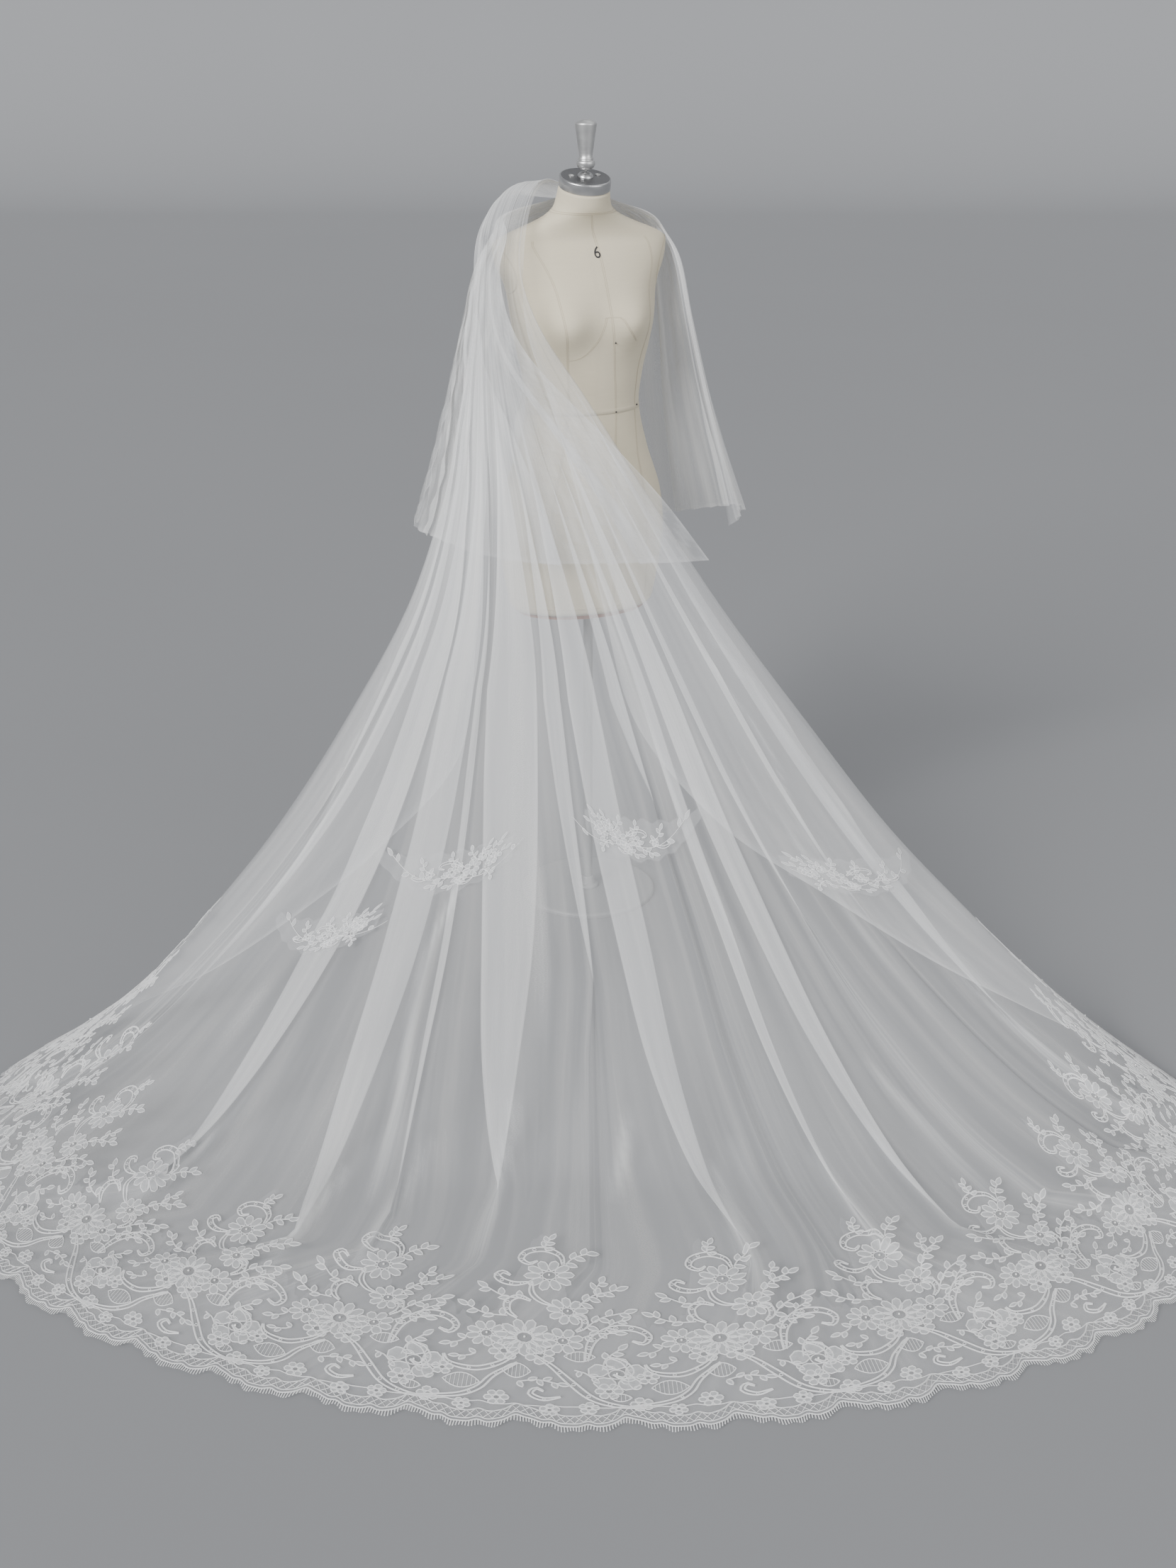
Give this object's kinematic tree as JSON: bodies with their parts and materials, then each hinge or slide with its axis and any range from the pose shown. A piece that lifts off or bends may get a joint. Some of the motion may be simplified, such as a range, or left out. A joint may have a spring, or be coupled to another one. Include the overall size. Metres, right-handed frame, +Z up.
{
  "type": "bridal veil on dress form",
  "caption": "Cathedral-length bridal veil with a shorter second tier and a lace hem border, gathered behind the neck of a limbless dress form on a plain stand.",
  "frame": {"origin": "on the floor at the centre of the stand's base plate", "axes": "+Z up; -Y towards the viewer, where the veil's hem spreads; +X to the viewer's right"},
  "size_m": [2.2763, 1.9814, 1.6596],
  "materials": {
    "tulle": "fine sheer net, soft matt",
    "lace": "corded lace, matt",
    "linen": "plain beige linen",
    "rim_wood": "reddish wood, satin",
    "cap_steel": "brushed",
    "knob_silver": "satin",
    "comb_metal": "satin",
    "stand_paint": "off-white paint, satin"
  },
  "bodies": {
    "root": {"form_body": "linen", "form_rim": "rim_wood", "neck_cap": "cap_steel", "cap_screw_left": "cap_steel", "cap_screw_right": "cap_steel", "knob_boss": "cap_steel", "knob": "knob_silver", "stand_pole": "stand_paint", "stand_base": "stand_paint", "comb": "comb_metal", "gather_band": "tulle", "short_tier": "tulle", "long_tier": "tulle", "lace_border": "lace", "lace_spray_1": "lace", "lace_spray_2": "lace", "lace_spray_3": "lace", "lace_spray_4": "lace"}
  },
  "joints": []
}
